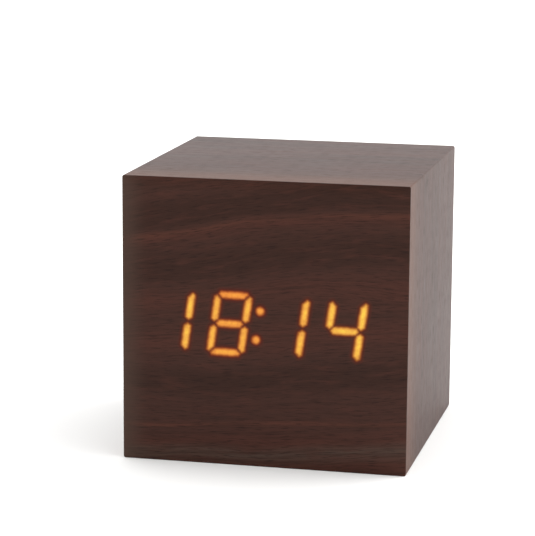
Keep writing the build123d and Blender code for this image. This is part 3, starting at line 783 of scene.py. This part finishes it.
def build_electronics():
    """What the two circuit boards carry, and the ribbon and leads between the pieces."""
    # Matt black: a chip shows only by its edges
    epoxy = moulded("Epoxy transfer-moulded", srgb("#17171a"), srgb("#1d1d1f"), 0.55, 0.12, 0.008)
    dress(["driver_chip", "control_chip"], epoxy)
    # Blue-black and shiny, faintly rippled where it has shrunk
    sleeve = moulded("PVC sleeve heat-shrunk", srgb("#171a2e"), srgb("#1d2036"), 0.28, 0.6, 0.006)
    dress(["capacitor"], sleeve)
    # Bright, its reflections smeared along the drawing marks
    can = metal("Tinned steel drawn", srgb("#b9b8b3"), srgb("#cfcec9"), 0.3, 0.25, (1, 5, 1))
    dress(["crystal", "microphone", "power_inlet"], can)
    # Plain satin black
    black = moulded("PBT moulded, black", srgb("#19191a"), srgb("#202021"), 0.5, 0.2, 0.01)
    dress(["buzzer", "switch_bodies", "set_stem", "up_stem", "down_stem"], black)
    # Unpigmented: cream and waxy
    natural = moulded("Nylon moulded, natural", srgb("#dbd6c8"), srgb("#d2ccbc"), 0.5, 0.4, 0.008)
    dress(["ribbon_sockets"], natural)
    # Dull, roughened by the fibres at its skin
    filled = moulded("Glass-filled nylon, black", srgb("#161617"), srgb("#1e1e1f"), 0.6, 0.15, 0.01)
    dress(["inlet_core"], filled)
    dress(["display_ribbon"], ribbon_material())
    # Both leads: full colour under a soft, slightly wavy shine
    red = moulded("PVC extruded, red", srgb("#a31b16"), srgb("#b02019"), 0.4, 0.8, 0.006)
    dress(["red_lead"], red)
    dark = moulded("PVC extruded, black", srgb("#18181a"), srgb("#202022"), 0.4, 0.8, 0.006)
    dress(["black_lead"], dark)
    # Pale grey with blurred reflections
    zinc = metal("Zinc-plated steel", srgb("#aeb0b2"), srgb("#c4c6c8"), 0.34, 0.3, (1, 3, 1))
    dress(["display_screws", "board_screws"], zinc)


def build_rear_cover():
    """The rear cover, its screws and the battery door."""
    cover = bpy.context.scene.alarm_clock.cover
    # Dull black with a faint broad sheen: its grit of about 0.1 mm is drawn at 0.35 mm to show
    eroded = moulded(
        "ABS spark-eroded", cover.plastic, srgb("#151516"), 0.56, 0.35, 0.035, Specular_IOR_Level=0.3
    )
    dress(["rear_cover", "battery_door"], eroded, cover.edge_bevel)
    # Passivated black: a dark metal that still reflects a little
    black_zinc = metal("Black zinc steel", srgb("#3a3a3c"), srgb("#4a4a4c"), 0.36, 0.3, (1, 3, 1))
    dress(["cover_screws"], black_zinc)


def build_buttons():
    """The three caps: a flange inside the cover, and a dished top that a fingertip finds."""
    cover = bpy.context.scene.alarm_clock.cover
    # Deep black with clear highlights, which sets the caps off from the cover
    glossy = {"Specular_IOR_Level": 0.4}
    polished = moulded("ABS polished", cover.button, srgb("#111112"), 0.24, 0.5, 0.004, **glossy)
    shaft = 2.5  # radius of the end a finger presses, in mm
    post = 1.3  # radius of the post that meets the switch, in mm
    for name in ("set", "up", "down"):
        low, high = box_mm(f"{name}_button")
        flange = (high.x - low.x) / 2
        length = high.y - low.y
        neck = length - 2.5
        profile = [
            (0.0, 0.0, 0), (0.0, post - 0.1, 0), (0.1, post, 0), (neck - 1.0, post, 0),
            (neck - 1.0, flange - 0.1, 0), (neck - 0.9, flange, 0), (neck - 0.1, flange, 0),
            (neck, flange - 0.1, 0), (neck, shaft, 0), (length - 0.45, shaft, 0),
            (length - 0.28, shaft - 0.05, 0), (length - 0.12, shaft - 0.16, 0),
            (length - 0.02, shaft - 0.36, 0), (length, shaft - 0.6, 0),
            (length - 0.06, shaft - 1.0, 0), (length - 0.16, shaft - 1.6, 0), (length - 0.2, 0.0, 0),
        ]
        origin = ((low.x + high.x) / 2, low.y, (low.z + high.z) / 2)
        piece = lathe(f"{name}_cap", profile, origin, (0, 1, 0), [polished])
        settle(piece, f"{name}_button", f"{name}_button")


def build_cells():
    """The three cells: a printed wrapper shrunk over a drawn steel can, with a nub at one end."""
    cover = bpy.context.scene.alarm_clock.cover
    # Glossy dark green, gently mottled
    wrapper = moulded("Shrink film printed", cover.wrapper, srgb("#245539"), 0.24, 0.9, 0.003)
    # As glossy, without the green
    band = moulded("Shrink film black band", srgb("#131415"), srgb("#18191a"), 0.24, 0.9, 0.003)
    # Warm bright metal, marked along its length by the drawing
    can = metal("Nickel-plated steel can", srgb("#b5b2aa"), srgb("#cbc8c0"), 0.26, 0.3, (4, 1, 1))
    nub = 1.9  # radius of the raised end, in mm
    band_end = 9.5  # where the black band stops, in mm from that end
    for name, facing in (("lower", 1), ("middle", -1), ("upper", 1)):
        low, high = box_mm(f"{name}_cell")
        radius = (high.z - low.z) / 2
        length = high.x - low.x
        film = radius - 0.01
        profile = [
            (0.0, 0.0, 0), (0.0, nub - 0.25, 0), (0.12, nub, 0), (0.9, nub + 0.05, 0),
            (0.95, radius - 1.4, 0), (1.2, radius - 0.9, 0), (0.98, radius - 0.5, 1),
            (1.05, radius - 0.15, 1), (1.3, radius, 1), (band_end, radius, 1), (band_end, film, 2),
            (length - 0.5, film, 2), (length - 0.12, radius - 0.15, 2),
            (length - 0.05, radius - 0.6, 2), (length - 0.2, radius - 0.9, 0),
            (length - 0.2, 2.6, 0), (length, 2.2, 0), (length, 0.0, 0),
        ]
        start_x = high.x if facing > 0 else low.x
        origin = (start_x, (low.y + high.y) / 2, (low.z + high.z) / 2)
        piece = lathe(f"{name}_aaa_cell", profile, origin, (-facing, 0, 0), [can, band, wrapper], 64)
        settle(piece, "root", f"{name}_cell")


def build_contacts():
    """The contact strips and the three coil springs that press on the cells."""
    cover = bpy.context.scene.alarm_clock.cover
    # Warm pale metal, rubbed bright along its length
    strip = metal("Nickel-plated strip", srgb("#b9b5aa"), srgb("#cdc9bf"), 0.28, 0.2, (1, 5, 1))
    dress(["negative_contact", "positive_contact", "left_link_contact", "right_link_contact"], strip)
    # A small bright highlight along each coil
    wire = metal("Nickel-plated spring wire", srgb("#bdbab2"), srgb("#d2cfc7"), 0.22, 0.3)
    low, high = box_mm("contact_springs")
    thin = cover.wire_radius
    wide = (high.y - low.y) / 2 - thin
    centre_y = (low.y + high.y) / 2
    cells = [box_mm(f"{name}_cell") for name in ("lower", "middle", "upper")]
    built = bmesh.new()
    turns = 4.0
    steps = 112
    sides = 8
    closed = 0.75  # turns that lie flat at each end
    taper = 0.28  # share of its radius that a coil loses towards the cell
    for (cell_low, cell_high), end in zip(cells, (-1, 1, -1)):
        wall = low.x if end < 0 else high.x
        tip = cell_low.x if end < 0 else cell_high.x
        centre_z = (cell_low.z + cell_high.z) / 2
        rings = []
        for step in range(steps + 1):
            share = step / steps
            rise = min(1.0, max(0.0, (share * turns - closed) / (turns - 2 * closed)))
            radius = wide - rise * wide * taper
            angle = share * turns * 2 * math.pi
            travel = wall + (tip - wall) * rise - end * thin * (1 - 2 * rise)
            radial = Vector((0, math.cos(angle), math.sin(angle)))
            middle = Vector((travel, centre_y, centre_z)) + radial * radius
            ring = []
            for side in range(sides):
                turn = 2 * math.pi * side / sides
                place = middle + radial * (thin * math.cos(turn))
                ring.append(built.verts.new(place + Vector((thin * math.sin(turn), 0, 0))))
            rings.append(ring)
        for first, second in zip(rings, rings[1:]):
            for side in range(sides):
                nxt = (side + 1) % sides
                built.faces.new([first[side], first[nxt], second[nxt], second[side]])
        built.faces.new(rings[0])
        built.faces.new(rings[-1])
    piece = make_object("contact_coils", built, [wire], sharp=60)
    settle(piece, "root", "contact_springs")


def build_stage():
    """A plain pale floor, soft studio light and the camera."""
    scene = bpy.context.scene
    stage = scene.alarm_clock.stage
    # Studio paint, rolled: flat white with no gloss, so that the clock stands on light alone
    paint, shader = begin_material("Studio paint rolled", Roughness=0.9, Specular_IOR_Level=0.0)
    tree = paint.node_tree
    cloud = add_node(tree, "TexNoise", {"Vector": surface_point(tree), "Scale": 0.004})
    colour = add_node(tree, "ValToRGB", (cloud,), stops=[(0.0, stage.floor), (1.0, srgb("#f8f8f7"))])
    finish_material(paint, shader, Base_Color=colour)
    built = bmesh.new()
    bmesh.ops.create_circle(built, cap_ends=True, segments=64, radius=9000)
    floor = make_object("studio_floor", built, [paint])
    # A hair below the clock, so that their faces never coincide
    floor.location.z = cad_low.z - 0.02 * MM

    world = bpy.data.worlds.new("Studio sky")
    scene.world = world
    world.use_nodes = True
    sky = world.node_tree
    direction = add_node(sky, "TexCoord", output="Generated")
    _, forward, upward = add_node(sky, "SeparateXYZ", (direction,), None)
    # Light comes from overhead and from the white sweep behind, little from the camera's side;
    # the camera itself sees plain white
    front = (forward, -0.9, -0.1, stage.front_sky, 1.0)
    share = add_node(sky, "MapRange", front, interpolation_type="SMOOTHSTEP")
    overhead = (upward, 0.15, 0.85, stage.horizon, stage.overhead)
    level = add_node(sky, "MapRange", overhead, interpolation_type="SMOOTHSTEP")
    level = add_node(sky, "Math", (level, share), operation="MULTIPLY")
    seen = add_node(sky, "LightPath", output="Is Camera Ray")
    strength = add_node(sky, "Math", (level, seen), operation="MAXIMUM")
    background = sky.nodes["Background"]
    background.inputs["Color"].default_value = srgb("#ffffff")
    sky.links.new(strength, background.inputs["Strength"])

    softbox_data = bpy.data.lights.new("Softbox", "AREA")
    softbox_data.shape = "RECTANGLE"
    softbox_data.size = 1.2
    softbox_data.size_y = 0.9
    softbox_data.energy = stage.softbox
    softbox = bpy.data.objects.new("Softbox", softbox_data)
    scene.collection.objects.link(softbox)
    softbox.location = (1.1, 0.5, 0.7)
    softbox.rotation_euler = Vector(softbox.location).to_track_quat("Z", "Y").to_euler()

    turn, climb = stage.azimuth, stage.elevation
    away = (math.sin(turn) * math.cos(climb), -math.cos(turn) * math.cos(climb), math.sin(climb))
    back = Vector(away)
    level_right = Vector((math.cos(turn), math.sin(turn), 0))
    level_up = back.cross(level_right)
    right = level_right * math.cos(stage.roll) + level_up * math.sin(stage.roll)
    up = level_up * math.cos(stage.roll) - level_right * math.sin(stage.roll)
    camera_data = bpy.data.cameras.new("Camera")
    camera = bpy.data.objects.new("Camera", camera_data)
    scene.collection.objects.link(camera)
    centre = (cad_low + cad_high) / 2
    place = centre + right * stage.aside + up * stage.above + back * stage.distance
    camera.matrix_world = Matrix.Translation(place) @ Matrix((right, up, back)).transposed().to_4x4()
    camera_data.lens = stage.lens
    camera_data.clip_start = 0.01
    camera_data.clip_end = 50
    scene.camera = camera
    scene.view_settings.view_transform = "Standard"


# Operators


class CLOCK_OT_case(bpy.types.Operator):
    """Build the four foiled case boards and dress the boards behind them"""

    bl_idname = "clock.case"
    bl_label = "Case boards"

    def execute(self, context):
        build_case()
        return {"FINISHED"}


class CLOCK_OT_front_film(bpy.types.Operator):
    """Build the printed front film with the time shining through it"""

    bl_idname = "clock.front_film"
    bl_label = "Front film"

    def execute(self, context):
        build_front_film()
        return {"FINISHED"}


class CLOCK_OT_display(bpy.types.Operator):
    """Dress the display module behind the film"""

    bl_idname = "clock.display"
    bl_label = "Display"

    def execute(self, context):
        build_display()
        return {"FINISHED"}


class CLOCK_OT_electronics(bpy.types.Operator):
    """Dress the chips, switches, sockets, ribbon and leads"""

    bl_idname = "clock.electronics"
    bl_label = "Electronics"

    def execute(self, context):
        build_electronics()
        return {"FINISHED"}


class CLOCK_OT_rear_cover(bpy.types.Operator):
    """Dress the rear cover, its screws and the battery door"""

    bl_idname = "clock.rear_cover"
    bl_label = "Rear cover and door"

    def execute(self, context):
        build_rear_cover()
        return {"FINISHED"}


class CLOCK_OT_buttons(bpy.types.Operator):
    """Build the three button caps"""

    bl_idname = "clock.buttons"
    bl_label = "Buttons"

    def execute(self, context):
        build_buttons()
        return {"FINISHED"}


class CLOCK_OT_cells(bpy.types.Operator):
    """Build the three cells"""

    bl_idname = "clock.cells"
    bl_label = "Cells"

    def execute(self, context):
        build_cells()
        return {"FINISHED"}


class CLOCK_OT_contacts(bpy.types.Operator):
    """Build the coil springs and dress the contact strips"""

    bl_idname = "clock.contacts"
    bl_label = "Contacts and springs"

    def execute(self, context):
        build_contacts()
        return {"FINISHED"}


class CLOCK_OT_stage(bpy.types.Operator):
    """Build the floor, the light and the camera"""

    bl_idname = "clock.stage"
    bl_label = "Stage"

    def execute(self, context):
        build_stage()
        return {"FINISHED"}


class CLOCK_PT_pieces(bpy.types.Panel):
    """The clock's pieces, each with the button that builds it"""

    bl_label = "Alarm Clock"
    bl_idname = "CLOCK_PT_pieces"
    bl_space_type = "VIEW_3D"
    bl_region_type = "UI"
    bl_category = "Alarm Clock"

    def draw(self, context):
        for operator in operators:
            self.layout.operator(operator.bl_idname)


operators = (
    CLOCK_OT_case, CLOCK_OT_front_film, CLOCK_OT_display, CLOCK_OT_electronics,
    CLOCK_OT_rear_cover, CLOCK_OT_buttons, CLOCK_OT_cells, CLOCK_OT_contacts, CLOCK_OT_stage,
)
settings = (FoilSettings, DigitSettings, CoverSettings, StageSettings, ClockSettings)


def register():
    """Register the settings, operators and panel."""
    for entry in (*settings, *operators, CLOCK_PT_pieces):
        bpy.utils.register_class(entry)
    bpy.types.Scene.alarm_clock = PointerProperty(type=ClockSettings)


def unregister():
    """Take the settings, operators and panel away again."""
    del bpy.types.Scene.alarm_clock
    for entry in reversed((*settings, *operators, CLOCK_PT_pieces)):
        bpy.utils.unregister_class(entry)


def main():
    register()
    for operator in operators:
        getattr(bpy.ops.clock, operator.bl_idname.split(".")[1])()


if __name__ == "__main__":
    main()
